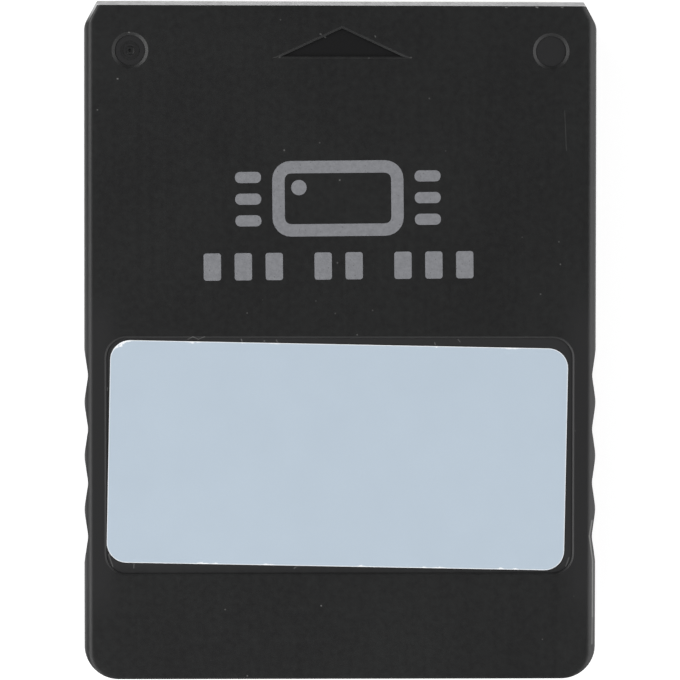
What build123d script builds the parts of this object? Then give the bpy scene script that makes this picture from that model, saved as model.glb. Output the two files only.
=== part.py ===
"""Console memory card: two snapped shells, a paper label and a circuit board.

The card lies on its rear face. X runs across it, Y points out of the connector end,
Z points out of the front face. All sizes are in millimetres.
"""
import os

from build123d import *

os.makedirs("parts", exist_ok=True)

# Whole card
card_width = 41.5
card_length = 54.8
card_thickness = 7.9
parting_height = 3.9
panel_wall = 1.1
side_wall = 1.4

# Outer edges
grip_corner_radius = 2.85
edge_radius = 0.8
nose_corner_x = 1.1
nose_corner_y = 2.05
nose_corner_radius = 1.5
nose_bevel = 0.36
seam_groove = 0.12

# Rounded bar that the shells are cut from: its end and corners reach past the card's
bar_grip_extra = 0.6
bar_corner_share = 0.69

# Finger waves on the two long sides: a zigzag with rounded corners
wave_count = 4
wave_pitch = 4.35
wave_rise = 0.365
wave_radius = 1.95

# Label and its recess
label_border = 1.89
recess_length = 19.07
recess_depth = 0.16
recess_corner = 1.6
recess_rim_width = 0.14
recess_rim_drop = 0.06
recess_shift = -0.06
recess_from_grip_end = 8.54
label_play_x = 0.34
label_play_y = 0.54
label_shift = -0.17
label_rise = 0.04
label_turn = -1.1
label_corner = 1.6
label_thickness = 0.1

# Arrow and round marks on the front face
arrow_width = 9.7
arrow_length = 2.25
arrow_depth = 0.3
arrow_rim_width = 0.18
arrow_rim_drop = 0.075
arrow_shift = 0.1
arrow_from_nose = 2.19
mark_radius = 1.23
mark_depth = 0.18
mark_rim_width = 0.25
mark_rim_drop = 0.1
mark_from_side = 3.75
mark_from_nose = 4.0
gate_radius = 0.36
gate_pit_radius = 0.13
gate_height = 0.12
gate_edge = 0.06
gate_ring_radius = 0.74
gate_ring_width = 0.16
gate_ring_height = 0.04

# Contact fingers and the mouth
contact_count = 8
contact_pitch = 3.2
contact_width = 2.0
contact_length = 7.8
contact_thickness = 0.05
contact_setback = 0.7
first_contact_lead = 0.4
mouth_depth = 10.2
mouth_side_gap = 1.2
mouth_lead_in = 0.45
cheek_wall = 1.0
rib_thickness = 1.2
rib_side_gap = 0.6
rib_setback = 0.8
rib_top_gap = 0.1
screen_thickness = 1.0
screen_gap = 0.1

# Circuit board and what holds it
board_thickness = 1.2
board_rest_height = 0.25
board_rest_width = 1.2
board_side_gap = 1.55
board_tongue_gap = 0.3
board_setback = 2.0
board_shoulder_gap = 0.2
board_grip_gap = 5.6
board_notch_gap = 0.2
board_corner = 0.6
board_pin_radius = 0.75
board_pin_gap = 0.1
board_pin_rise = 0.5
board_pin_inset = 2.0
board_pin_back = 4.0
post_radius = 0.9

# Pegs that join the shells
peg_radius = 0.95
peg_gap = 0.05
peg_tip_gap = 0.3
socket_wall = 0.65
socket_floor = 0.3
socket_drop = 0.3
grip_peg_from_side = 5.2
grip_peg_from_end = 3.6

# Lip round the seam and the snap hooks
lip_thickness = 0.45
lip_height = 0.7
lip_gap = 0.1
lip_from_nose = 3.0
hook_spacing = 22.0
hook_width = 4.0
hook_stem = 0.6
hook_gap = 0.06
hook_bite = 0.3
hook_head = 0.7
hook_headroom = 0.4
hook_play = 0.1
catch_depth = 0.4
catch_height = 0.7

# Chips and small parts on the board
chip_gap = 1.6
chip_standoff = 0.1
chip_edge = 0.12
chip_dot_radius = 0.45
chip_dot_inset = 1.2
chip_dot_depth = 0.08
memory_width = 18.4
memory_length = 12.0
memory_height = 1.0
memory_lead_count = 24
controller_width = 7.0
controller_height = 1.4
controller_lead_count = 12
controller_shift = -5.0
lead_pitch = 0.5
lead_width = 0.22
lead_thickness = 0.14
lead_reach = 0.8
lead_foot = 0.45
crystal_width = 5.0
crystal_length = 3.2
crystal_height = 0.85
crystal_lid_inset = 0.35
crystal_lid_height = 0.25
small_count = 4
small_width = 1.6
small_length = 0.8
small_height = 0.7
small_cap = 0.35
small_cap_rise = 0.06
small_pitch = 2.4

# Levels and edges that follow from those sizes
nose_y = card_length / 2
grip_y = -card_length / 2
side_x = card_width / 2
inner_x = side_x - side_wall
front_inner_z = card_thickness - panel_wall
board_under_z = panel_wall + board_rest_height
board_top_z = board_under_z + board_thickness
contact_top_z = board_top_z + contact_thickness
chip_under_z = board_top_z + chip_standoff
recess_width = card_width - 2 * label_border
recess_y = grip_y + recess_from_grip_end + recess_length / 2
recess_floor_z = card_thickness - recess_depth
wave_half = wave_pitch / 2
wave_top_y = recess_y + wave_count * wave_half
mark_x = side_x - mark_from_side
mark_y = nose_y - mark_from_nose
mark_floor_z = card_thickness - mark_depth
arrow_tip_y = nose_y - arrow_from_nose
group_step = contact_width + rib_thickness + 2 * rib_side_gap
rib_x = (contact_pitch + group_step) / 2
outer_contact_x = contact_pitch / 2 + group_step + 2 * contact_pitch
mouth_x = outer_contact_x + contact_width / 2 + mouth_side_gap
mouth_end_y = nose_y - mouth_depth
screen_back_y = mouth_end_y - screen_thickness
cheek_length = nose_y - screen_back_y
rib_back_y = mouth_end_y + board_notch_gap
board_x = inner_x - board_side_gap
tongue_x = mouth_x - board_tongue_gap
board_nose_y = nose_y - board_setback
board_shoulder_y = screen_back_y - board_shoulder_gap
board_grip_y = grip_y + side_wall + board_grip_gap
board_pin_x = board_x - board_pin_inset
board_pin_y = board_shoulder_y - board_pin_back
post_y = board_grip_y + board_pin_inset
grip_peg_x = side_x - grip_peg_from_side
grip_peg_y = grip_y + grip_peg_from_end
peg_places = [(mark_x, mark_y), (-mark_x, mark_y), (grip_peg_x, grip_peg_y), (-grip_peg_x, grip_peg_y)]
socket_hole_radius = peg_radius + peg_gap
socket_floor_z = panel_wall + socket_floor
hook_top_z = front_inner_z - hook_headroom
hook_under_z = hook_top_z - hook_head
catch_top_z = hook_under_z - hook_play
hook_face_x = inner_x - catch_depth - hook_gap
hook_places_y = [recess_y + hook_spacing / 2, recess_y - hook_spacing / 2]
memory_y = board_shoulder_y - chip_gap - memory_length / 2
controller_span = controller_width + 2 * lead_reach
controller_y = memory_y - memory_length / 2 - chip_gap - controller_span / 2
crystal_x = controller_shift + controller_span / 2 + 2 * chip_gap + crystal_width / 2
small_y = controller_y - controller_span / 2 - chip_gap - small_length / 2


def plan_outline(inset):
    """Outline of the card seen from the front, moved inwards."""
    with BuildSketch() as outline:
        Rectangle(card_width - 2 * inset, card_length - 2 * inset)
        fillet(outline.vertices().group_by(Axis.Y)[0], grip_corner_radius - inset)
    return outline.sketch


def outer_outline(end_y, corner_share):
    """Outside of the card from a grip end to the nose, with a share of its slanted corners."""
    with BuildSketch() as outline:
        with Locations((0, end_y)):
            Rectangle(card_width, nose_y - end_y, align=(Align.CENTER, Align.MIN))
        fillet(outline.vertices().group_by(Axis.Y)[0], grip_corner_radius)
        chamfer(
            outline.vertices().group_by(Axis.Y)[-1],
            corner_share * nose_corner_x,
            corner_share * nose_corner_y,
            reference=outline.edges().sort_by(Axis.Y)[-1],
        )
        fillet(outline.vertices().group_by(Axis.Y)[-2], nose_corner_radius)
    return outline.sketch


def nose_bevel_plane(face_z, up):
    """Plane that takes the edge off the connector end along one big face."""
    return Plane(origin=(0, nose_y - nose_bevel, face_z), z_dir=(0, 1, up))


def gull_lead(body_half, middle_z):
    """One bent chip lead that leaves the chip along X and stands on the board."""
    bend_x = body_half + lead_reach - lead_foot
    toe_x = body_half + lead_reach
    shoulder_top = middle_z + lead_thickness / 2
    shoulder_under = middle_z - lead_thickness / 2
    with BuildPart() as lead:
        with BuildSketch(Plane.XZ):
            Polygon(
                (body_half, shoulder_top),
                (bend_x, shoulder_top),
                (bend_x, board_top_z + lead_thickness),
                (toe_x, board_top_z + lead_thickness),
                (toe_x, board_top_z),
                (bend_x - lead_thickness, board_top_z),
                (bend_x - lead_thickness, shoulder_under),
                (body_half, shoulder_under),
                align=None,
            )
        extrude(amount=lead_width / 2, both=True)
    return lead.part


def chip_body(width, length, height, centre_x, centre_y):
    """Moulded chip package with eased edges and a dot by its first lead."""
    with BuildPart() as package:
        with BuildSketch(Plane.XY.offset(chip_under_z)):
            with Locations((centre_x, centre_y)):
                Rectangle(width, length)
        extrude(amount=height)
        chamfer(faces().sort_by(Axis.Z)[-1].edges(), chip_edge)
        with BuildSketch(Plane.XY.offset(chip_under_z + height)):
            with Locations((centre_x - width / 2 + chip_dot_inset, centre_y + length / 2 - chip_dot_inset)):
                Circle(chip_dot_radius)
        extrude(amount=-chip_dot_depth, mode=Mode.SUBTRACT)
    return package.part


def small_part(centre_x):
    """Chip capacitor or resistor: a block between two metal end caps."""
    with BuildPart() as block:
        with BuildSketch(Plane.XY.offset(board_top_z)):
            with Locations((centre_x, small_y)):
                Rectangle(small_width, small_length)
        extrude(amount=small_height)
        with BuildSketch(Plane.XY.offset(board_top_z)):
            with Locations((centre_x, small_y)):
                with GridLocations(small_width - small_cap, 0, 2, 1):
                    Rectangle(small_cap, small_length + 2 * small_cap_rise)
        extrude(amount=small_height + small_cap_rise)
    return block.part


def save(piece, name):
    """Name one finished piece and write its file."""
    piece.label = name
    export_step(piece, "parts/" + name + ".step")


# Stock that the finger waves take off both long sides
wave_points = [(side_x + wave_rise, wave_top_y + wave_half)]
for step in range(wave_count):
    wave_points.append((side_x - wave_rise, wave_top_y - step * wave_pitch - wave_half))
    wave_points.append((side_x, wave_top_y - (step + 1) * wave_pitch))
wave_points[-1] = (side_x + wave_rise, wave_top_y - wave_count * wave_pitch - wave_half)
with BuildSketch() as wave_cut:
    with BuildLine():
        FilletPolyline(*wave_points, radius=wave_radius)
        Line(wave_points[-1], wave_points[0])
    make_face()
    mirror(about=Plane.YZ)

# Outlines of the bar and the housing, and a thin ring along the outside of the seam
with BuildSketch() as bar_plan:
    add(outer_outline(grip_y - bar_grip_extra, bar_corner_share))
with BuildSketch() as housing_plan:
    add(outer_outline(grip_y, 1))
    add(wave_cut.sketch, mode=Mode.SUBTRACT)
with BuildSketch() as seam_ring:
    add(housing_plan.sketch)
    offset(amount=-seam_groove, mode=Mode.SUBTRACT)

# Room inside the walls: main space, two cheek spaces and the mouth
with BuildSketch() as pocket:
    add(plan_outline(side_wall))
    with Locations((0, screen_back_y + cheek_length / 2)):
        Rectangle(2 * (mouth_x + cheek_wall), cheek_length, mode=Mode.SUBTRACT)
        Rectangle(2 * mouth_x, cheek_length)

# Front shell: the rounded bar, cut to the outline, so that its edge fades out at the grip end
with BuildPart() as front_shell:
    with BuildSketch(Plane.XY.offset(parting_height)):
        add(bar_plan.sketch)
    extrude(amount=card_thickness - parting_height)
    fillet(faces().sort_by(Axis.Z)[-1].edges().sort_by(Axis.Y)[:-1], edge_radius)
    with BuildSketch(Plane.XY.offset(parting_height)):
        add(housing_plan.sketch)
    extrude(amount=card_thickness - parting_height, mode=Mode.INTERSECT)
    split(bisect_by=nose_bevel_plane(card_thickness, 1), keep=Keep.BOTTOM)

    # Recess for the label, with a sloped rim
    with BuildSketch(Plane.XY.offset(card_thickness)):
        with Locations((recess_shift, recess_y)):
            RectangleRounded(recess_width, recess_length, recess_corner)
    extrude(amount=-recess_depth, mode=Mode.SUBTRACT)
    recess_edges = edges(Select.LAST).group_by(Axis.Z)[-1]
    front_face = faces().sort_by(Axis.Z)[-1]
    chamfer(recess_edges, recess_rim_width, recess_rim_drop, reference=front_face)

    # Arrow that shows which end goes in
    with BuildSketch(Plane.XY.offset(card_thickness)):
        Polygon(
            (arrow_shift, arrow_tip_y),
            (arrow_shift - arrow_width / 2, arrow_tip_y - arrow_length),
            (arrow_shift + arrow_width / 2, arrow_tip_y - arrow_length),
            align=None,
        )
    extrude(amount=-arrow_depth, mode=Mode.SUBTRACT)
    arrow_edges = edges(Select.LAST).group_by(Axis.Z)[-1]
    front_face = faces().sort_by(Axis.Z)[-1]
    chamfer(arrow_edges, arrow_rim_width, arrow_rim_drop, reference=front_face)

    # Two round marks, the left one with the stub of the moulding gate
    with BuildSketch(Plane.XY.offset(card_thickness)):
        with GridLocations(2 * mark_x, 0, 2, 1):
            with Locations((0, mark_y)):
                Circle(mark_radius)
    extrude(amount=-mark_depth, mode=Mode.SUBTRACT)
    mark_edges = edges(Select.LAST).group_by(Axis.Z)[-1]
    front_face = faces().sort_by(Axis.Z)[-1]
    chamfer(mark_edges, mark_rim_width, mark_rim_drop, reference=front_face)
    with BuildSketch(Plane.XY.offset(mark_floor_z)):
        with Locations((-mark_x, mark_y)):
            Circle(gate_ring_radius)
            Circle(gate_ring_radius - gate_ring_width, mode=Mode.SUBTRACT)
    extrude(amount=gate_ring_height)
    with BuildSketch(Plane.XY.offset(mark_floor_z)):
        with Locations((-mark_x, mark_y)):
            Circle(gate_radius)
            Circle(gate_pit_radius, mode=Mode.SUBTRACT)
    extrude(amount=gate_height)
    chamfer(edges(Select.LAST).group_by(Axis.Z)[-1].sort_by(SortBy.LENGTH)[-1], gate_edge)

    # Hollow inside and the lead-in of the mouth
    with BuildSketch(Plane.XY.offset(parting_height)):
        add(pocket.sketch)
    extrude(amount=front_inner_z - parting_height, mode=Mode.SUBTRACT)
    with BuildSketch(Plane.YZ):
        Polygon(
            (nose_y, front_inner_z),
            (nose_y, front_inner_z + mouth_lead_in),
            (nose_y - mouth_lead_in, front_inner_z),
            align=None,
        )
    extrude(amount=mouth_x, both=True, mode=Mode.SUBTRACT)

    # Rebate that takes the lip of the rear shell
    with BuildSketch(Plane.XY.offset(parting_height)):
        add(plan_outline(side_wall - lip_thickness - lip_gap))
        add(plan_outline(side_wall), mode=Mode.SUBTRACT)
        with Locations((0, nose_y - lip_from_nose + lip_gap)):
            Rectangle(card_width, card_length, align=(Align.CENTER, Align.MIN), mode=Mode.SUBTRACT)
    extrude(amount=lip_height + lip_gap, mode=Mode.SUBTRACT)

    # Screen wall behind the mouth, narrower where it dips between the rear cheeks
    with BuildSketch(Plane.XY.offset(parting_height)):
        with Locations((0, mouth_end_y)):
            Rectangle(2 * mouth_x, screen_thickness, align=(Align.CENTER, Align.MAX))
    extrude(amount=front_inner_z - parting_height)
    with BuildSketch(Plane.XY.offset(contact_top_z + screen_gap)):
        with Locations((0, mouth_end_y)):
            Rectangle(2 * (mouth_x - screen_gap), screen_thickness, align=(Align.CENTER, Align.MAX))
    extrude(amount=parting_height - contact_top_z - screen_gap)

    # Joining pegs and the posts that hold the board down
    with BuildSketch(Plane.XY.offset(socket_floor_z + peg_tip_gap)):
        with Locations(*peg_places):
            Circle(peg_radius)
    extrude(amount=front_inner_z - socket_floor_z - peg_tip_gap)
    with BuildSketch(Plane.XY.offset(board_top_z)):
        with Locations((board_pin_x, post_y), (-board_pin_x, post_y)):
            Circle(post_radius)
    extrude(amount=front_inner_z - board_top_z)

    # Ledges that the snap hooks catch
    for hook_y in hook_places_y:
        with BuildSketch(Plane.XY.offset(catch_top_z - catch_height)):
            with Locations((inner_x - catch_depth, hook_y)):
                Rectangle(catch_depth + lip_thickness, hook_width, align=(Align.MIN, Align.CENTER))
            mirror(about=Plane.YZ)
        extrude(amount=catch_height)

# Rear shell, cut from a rounded bar in the same way
with BuildPart() as rear_shell:
    with BuildSketch():
        add(bar_plan.sketch)
    extrude(amount=parting_height)
    fillet(faces().sort_by(Axis.Z)[0].edges().sort_by(Axis.Y)[:-1], edge_radius)
    with BuildSketch():
        add(housing_plan.sketch)
    extrude(amount=parting_height, mode=Mode.INTERSECT)
    split(bisect_by=nose_bevel_plane(0, -1), keep=Keep.BOTTOM)

    # Hollow inside, the lead-in of the mouth and the groove along the seam
    with BuildSketch(Plane.XY.offset(panel_wall)):
        add(pocket.sketch)
    extrude(amount=parting_height - panel_wall, mode=Mode.SUBTRACT)
    with BuildSketch(Plane.YZ):
        Polygon(
            (nose_y, panel_wall),
            (nose_y, panel_wall - mouth_lead_in),
            (nose_y - mouth_lead_in, panel_wall),
            align=None,
        )
    extrude(amount=mouth_x, both=True, mode=Mode.SUBTRACT)
    with BuildSketch(Plane.XY.offset(parting_height)):
        add(seam_ring.sketch)
    extrude(amount=-seam_groove, mode=Mode.SUBTRACT)

    # Lip that rises inside the front shell
    with BuildSketch(Plane.XY.offset(parting_height)):
        add(plan_outline(side_wall - lip_thickness))
        add(plan_outline(side_wall), mode=Mode.SUBTRACT)
        with Locations((0, nose_y - lip_from_nose)):
            Rectangle(card_width, card_length, align=(Align.CENTER, Align.MIN), mode=Mode.SUBTRACT)
    extrude(amount=lip_height)

    # Strips under the board and pins through it
    with BuildSketch(Plane.XY.offset(panel_wall)):
        with GridLocations(2 * outer_contact_x, 0, 2, 1):
            with Locations((0, board_nose_y - board_pin_inset)):
                Rectangle(
                    board_rest_width,
                    board_nose_y - board_grip_y - 2 * board_pin_inset,
                    align=(Align.CENTER, Align.MAX),
                )
    extrude(amount=board_rest_height)
    with BuildSketch(Plane.XY.offset(panel_wall)):
        with Locations((board_pin_x, board_pin_y), (-board_pin_x, board_pin_y)):
            Circle(board_pin_radius)
    extrude(amount=board_top_z + board_pin_rise - panel_wall)

    # Ribs that part the mouth into three
    with BuildSketch(Plane.XY.offset(panel_wall)):
        with GridLocations(2 * rib_x, 0, 2, 1):
            with Locations((0, rib_back_y)):
                Rectangle(
                    rib_thickness,
                    nose_y - rib_setback - rib_back_y,
                    align=(Align.CENTER, Align.MIN),
                )
    extrude(amount=front_inner_z - rib_top_gap - panel_wall)

    # Sockets for the joining pegs
    with BuildSketch(Plane.XY.offset(panel_wall)):
        with Locations(*peg_places):
            Circle(socket_hole_radius + socket_wall)
    extrude(amount=parting_height - socket_drop - panel_wall)
    with BuildSketch(Plane.XY.offset(socket_floor_z)):
        with Locations(*peg_places):
            Circle(socket_hole_radius)
    extrude(amount=parting_height - socket_floor_z, mode=Mode.SUBTRACT)

    # Snap hooks
    for hook_y in hook_places_y:
        with BuildSketch(Plane.XZ.offset(-hook_y)):
            Polygon(
                (hook_face_x - hook_stem, panel_wall),
                (hook_face_x, panel_wall),
                (hook_face_x, hook_under_z),
                (hook_face_x + hook_gap + hook_bite, hook_under_z),
                (hook_face_x, hook_top_z),
                (hook_face_x - hook_stem, hook_top_z),
                align=None,
            )
            mirror(about=Plane.YZ)
        extrude(amount=hook_width / 2, both=True)

# Paper label
with BuildPart() as label_sticker:
    with BuildSketch(Plane.XY.offset(recess_floor_z)):
        with Locations((recess_shift + label_shift, recess_y + label_rise)):
            RectangleRounded(
                recess_width - 2 * label_play_x,
                recess_length - 2 * label_play_y,
                label_corner,
                rotation=label_turn,
            )
    extrude(amount=label_thickness)

# Circuit board
with BuildPart() as circuit_board:
    with BuildSketch(Plane.XY.offset(board_under_z)) as board_plan:
        with Locations((0, board_grip_y)):
            Rectangle(2 * board_x, board_shoulder_y - board_grip_y, align=(Align.CENTER, Align.MIN))
            Rectangle(2 * tongue_x, board_nose_y - board_grip_y, align=(Align.CENTER, Align.MIN))
        chamfer(board_plan.vertices().group_by(Axis.Y)[0], board_corner)
        chamfer(board_plan.vertices().group_by(Axis.Y)[-1], board_corner)
        with GridLocations(2 * rib_x, 0, 2, 1):
            with Locations((0, mouth_end_y)):
                Rectangle(
                    rib_thickness + 2 * board_notch_gap,
                    mouth_depth,
                    align=(Align.CENTER, Align.MIN),
                    mode=Mode.SUBTRACT,
                )
        with Locations((board_pin_x, board_pin_y), (-board_pin_x, board_pin_y)):
            Circle(board_pin_radius + board_pin_gap, mode=Mode.SUBTRACT)
    extrude(amount=board_thickness)

# Chips with their leads
memory_chip_body = chip_body(memory_width, memory_length, memory_height, 0, memory_y)
memory_lead = gull_lead(memory_width / 2, chip_under_z + memory_height / 2)
with BuildPart() as memory_chip_leads:
    with Locations((0, memory_y)):
        with GridLocations(0, lead_pitch, 1, memory_lead_count):
            add(memory_lead)
    mirror(about=Plane.YZ)

controller_chip_body = chip_body(
    controller_width, controller_width, controller_height, controller_shift, controller_y
)
controller_lead = gull_lead(controller_width / 2, chip_under_z + controller_height / 2)
with BuildPart() as controller_chip_leads:
    with Locations((controller_shift, controller_y)):
        with PolarLocations(0, 4):
            with GridLocations(0, lead_pitch, 1, controller_lead_count):
                add(controller_lead)

# Timing crystal with its metal lid
with BuildPart() as crystal:
    with BuildSketch(Plane.XY.offset(board_top_z)):
        with Locations((crystal_x, controller_y)):
            Rectangle(crystal_width, crystal_length)
    extrude(amount=crystal_height)
    with BuildSketch(Plane.XY.offset(board_top_z + crystal_height)):
        with Locations((crystal_x, controller_y)):
            Rectangle(crystal_width - 2 * crystal_lid_inset, crystal_length - 2 * crystal_lid_inset)
    extrude(amount=crystal_lid_height)

# Contact fingers from left to right; the two in the middle reach further out
for number in range(1, contact_count + 1):
    groups_passed = (number > 3) + (number > 5)
    finger_x = (number - 1) * contact_pitch + groups_passed * (group_step - contact_pitch) - outer_contact_x
    finger_lead = first_contact_lead if groups_passed == 1 else 0
    with BuildPart() as contact:
        with BuildSketch(Plane.XY.offset(board_top_z)):
            with Locations((finger_x, board_nose_y - contact_setback + finger_lead)):
                Rectangle(contact_width, contact_length + finger_lead, align=(Align.CENTER, Align.MAX))
        extrude(amount=contact_thickness)
    save(contact.part, "contact_" + str(number))

# Capacitors and resistors in one row
for number in range(1, small_count + 1):
    save(small_part((number - small_count - 0.5) * small_pitch), "capacitor_" + str(number))
    save(small_part((number - 0.5) * small_pitch), "resistor_" + str(number))

save(front_shell.part, "front_shell")
save(rear_shell.part, "rear_shell")
save(label_sticker.part, "label_sticker")
save(circuit_board.part, "circuit_board")
save(memory_chip_body, "memory_chip_body")
save(memory_chip_leads.part, "memory_chip_leads")
save(controller_chip_body, "controller_chip_body")
save(controller_chip_leads.part, "controller_chip_leads")
save(crystal.part, "crystal")
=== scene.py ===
"""Console memory card: finishes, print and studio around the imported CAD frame.

Lengths are in metres in the CAD frame, and in millimetres inside the finishes. The card lies on
its rear face, X runs across it, Y points out of the connector end and Z out of the front face.
"""
import logging
import math
from dataclasses import dataclass, field
from enum import Enum
from typing import Any

import bpy
from mathutils import Matrix, Vector


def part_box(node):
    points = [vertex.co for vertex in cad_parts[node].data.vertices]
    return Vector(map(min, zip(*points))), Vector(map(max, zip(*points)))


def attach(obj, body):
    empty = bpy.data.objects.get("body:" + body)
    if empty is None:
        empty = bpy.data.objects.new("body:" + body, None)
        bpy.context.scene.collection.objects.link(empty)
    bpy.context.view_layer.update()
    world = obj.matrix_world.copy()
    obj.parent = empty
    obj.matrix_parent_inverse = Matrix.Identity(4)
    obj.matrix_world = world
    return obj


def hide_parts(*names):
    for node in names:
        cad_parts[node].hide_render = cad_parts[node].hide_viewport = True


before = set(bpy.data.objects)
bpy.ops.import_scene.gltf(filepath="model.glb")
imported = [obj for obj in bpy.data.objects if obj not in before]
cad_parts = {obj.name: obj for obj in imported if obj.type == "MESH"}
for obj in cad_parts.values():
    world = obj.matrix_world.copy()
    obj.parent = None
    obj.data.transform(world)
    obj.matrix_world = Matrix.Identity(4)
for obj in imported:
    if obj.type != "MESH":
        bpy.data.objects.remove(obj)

LOG = logging.getLogger("memory_card")
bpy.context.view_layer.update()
BODY = "root"
MM = 0.001

Pair = tuple[float, float]
Triple = tuple[float, float, float]
# What a node's input takes: a value, an output socket, or a node for its first output
Plug = Any


class Side(Enum):
    """Sides of the card, as the sign of their X."""

    LEFT = -1
    RIGHT = 1


class Slot(Enum):
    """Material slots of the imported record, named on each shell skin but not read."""

    SHELL = "shell_plastic"


def linear(hex_colour: str) -> tuple[float, float, float, float]:
    """Turn an sRGB hex colour into linear light.

    Args:
        hex_colour: Colour such as "#1b1b1c".

    Returns:
        Linear red, green and blue, and an alpha of one.
    """
    parts = [int(hex_colour[i:i + 2], 16) / 255.0 for i in (1, 3, 5)]
    light = [p / 12.92 if p <= 0.04045 else ((p + 0.055) / 1.055) ** 2.4 for p in parts]
    return (light[0], light[1], light[2], 1.0)


def plug(tree: bpy.types.NodeTree, node: bpy.types.Node, sockets: dict[Any, Plug]) -> None:
    """Set or link a node's inputs.

    Args:
        tree: Tree that holds the node.
        node: Node whose inputs are set.
        sockets: Input name or number, with a value, an output socket or a node.
    """
    for key, value in sockets.items():
        if isinstance(value, bpy.types.Node):
            value = value.outputs[0]
        if isinstance(value, bpy.types.NodeSocket):
            tree.links.new(value, node.inputs[key])
        else:
            node.inputs[key].default_value = value


def add_node(
    tree: bpy.types.NodeTree,
    kind: str,
    sockets: dict[Any, Plug] | None = None,
    **settings: Any,
) -> bpy.types.Node:
    """Add a node, set its properties, and set or link its sockets.

    Args:
        tree: Tree that the node joins.
        kind: Blender's name for the kind of node.
        sockets: Input name or number, with what it takes.
        **settings: Properties of the node itself.

    Returns:
        The new node.
    """
    node = tree.nodes.new(kind)
    for name, value in settings.items():
        setattr(node, name, value)
    plug(tree, node, sockets or {})
    return node


def maths(tree: bpy.types.NodeTree, operation: str, *values: Plug) -> bpy.types.Node:
    """Add a maths node.

    Args:
        tree: Tree that the node joins.
        operation: Blender's name for the operation.
        *values: Its inputs in order.

    Returns:
        The new node.
    """
    return add_node(tree, "ShaderNodeMath", dict(enumerate(values)), operation=operation)


def vectors(tree: bpy.types.NodeTree, operation: str, *values: Plug) -> bpy.types.Node:
    """Add a vector maths node.

    Args:
        tree: Tree that the node joins.
        operation: Blender's name for the operation.
        *values: Its inputs in order.

    Returns:
        The new node.
    """
    return add_node(tree, "ShaderNodeVectorMath", dict(enumerate(values)), operation=operation)


def ranged(
    tree: bpy.types.NodeTree,
    value: Plug,
    source: Pair = (0.0, 1.0),
    to: Pair = (0.0, 1.0),
    **settings: Any,
) -> bpy.types.Node:
    """Map one range of a value onto another, held at both ends.

    Args:
        tree: Tree that the node joins.
        value: Value to map.
        source: Ends of the range that is mapped.
        to: What those ends become.
        **settings: Properties of the node itself.

    Returns:
        The new node.
    """
    sockets = {
        "Value": value,
        "From Min": source[0],
        "From Max": source[1],
        "To Min": to[0],
        "To Max": to[1],
    }
    return add_node(tree, "ShaderNodeMapRange", sockets, **settings)


def noise(
    tree: bpy.types.NodeTree,
    place: Plug,
    scale: float,
    detail: float,
    roughness: float = 0.5,
) -> bpy.types.Node:
    """Add a noise texture.

    Args:
        tree: Tree that the node joins.
        place: Place in millimetres.
        scale: Waves per millimetre.
        detail: Number of finer layers.
        roughness: Weight of the finer layers.

    Returns:
        The new node.
    """
    sockets = {"Vector": place, "Scale": scale, "Detail": detail, "Roughness": roughness}
    return add_node(tree, "ShaderNodeTexNoise", sockets)


def blend(tree: bpy.types.NodeTree, mask: Plug, below: Plug, above: Plug) -> bpy.types.NodeSocket:
    """Lay one colour over another by a mask.

    Args:
        tree: Tree that the node joins.
        mask: Share of the upper colour.
        below: Lower colour.
        above: Upper colour.

    Returns:
        Colour socket of the blend.
    """
    mix = add_node(tree, "ShaderNodeMix", {0: mask, 6: below, 7: above}, data_type="RGBA")
    return mix.outputs[2]


def relief(tree: bpy.types.NodeTree, height: Plug, strength: Plug, depth: float) -> bpy.types.Node:
    """Add a fine bump.

    Args:
        tree: Tree that the node joins.
        height: Height of the surface.
        strength: Share of the bump.
        depth: Depth of the bump in millimetres.

    Returns:
        Node whose first output is the normal.
    """
    sockets = {"Strength": strength, "Distance": depth * MM, "Height": height}
    return add_node(tree, "ShaderNodeBump", sockets)


def clear_tree(block: bpy.types.Material | bpy.types.World) -> bpy.types.NodeTree:
    """Give a material or a world an empty node tree."""
    block.use_nodes = True
    block.node_tree.nodes.clear()
    return block.node_tree


def start_material(name: str) -> tuple[bpy.types.Material, bpy.types.NodeTree, bpy.types.Node]:
    """Make a material with a bare Principled shader.

    Args:
        name: Name of the real material.

    Returns:
        The material, its tree and its shader.
    """
    material = bpy.data.materials.new(name)
    tree = clear_tree(material)
    shader = add_node(tree, "ShaderNodeBsdfPrincipled")
    add_node(tree, "ShaderNodeOutputMaterial", {"Surface": shader})
    return material, tree, shader


def millimetres(tree: bpy.types.NodeTree) -> bpy.types.Node:
    """Place on the object in millimetres of the CAD frame, as a vector node."""
    coordinates = add_node(tree, "ShaderNodeTexCoord")
    sockets = {0: coordinates.outputs["Object"], "Scale": 1.0 / MM}
    return add_node(tree, "ShaderNodeVectorMath", sockets, operation="SCALE")


def deselect_all() -> None:
    """Leave object mode clean, with nothing selected."""
    if bpy.context.object is not None and bpy.context.object.mode != "OBJECT":
        bpy.ops.object.mode_set(mode="OBJECT")
    bpy.ops.object.select_all(action="DESELECT")


def pick(piece: bpy.types.Object) -> None:
    """Make one object the only selected and active one."""
    deselect_all()
    piece.select_set(True)
    bpy.context.view_layer.objects.active = piece


def settle(piece: bpy.types.Object) -> None:
    """Move a piece's place, turn and scale into its mesh."""
    pick(piece)
    bpy.ops.object.transform_apply(location=True, rotation=True, scale=True)


def wear_finish(piece: bpy.types.Object, material: bpy.types.Material) -> None:
    """Put one material in every slot of an object."""
    if not piece.material_slots:
        piece.data.materials.append(material)
    for slot in piece.material_slots:
        slot.material = material


def seat(piece: bpy.types.Object, replaced: str | None = None) -> None:
    """Ride a finished piece on the card and log it.

    Args:
        piece: Finished piece in the CAD frame.
        replaced: CAD node that it stands for.
    """
    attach(piece, BODY)
    if replaced is not None:
        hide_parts(replaced)
    LOG.info("piece %s, %d faces", piece.name, len(piece.data.polygons))


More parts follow.
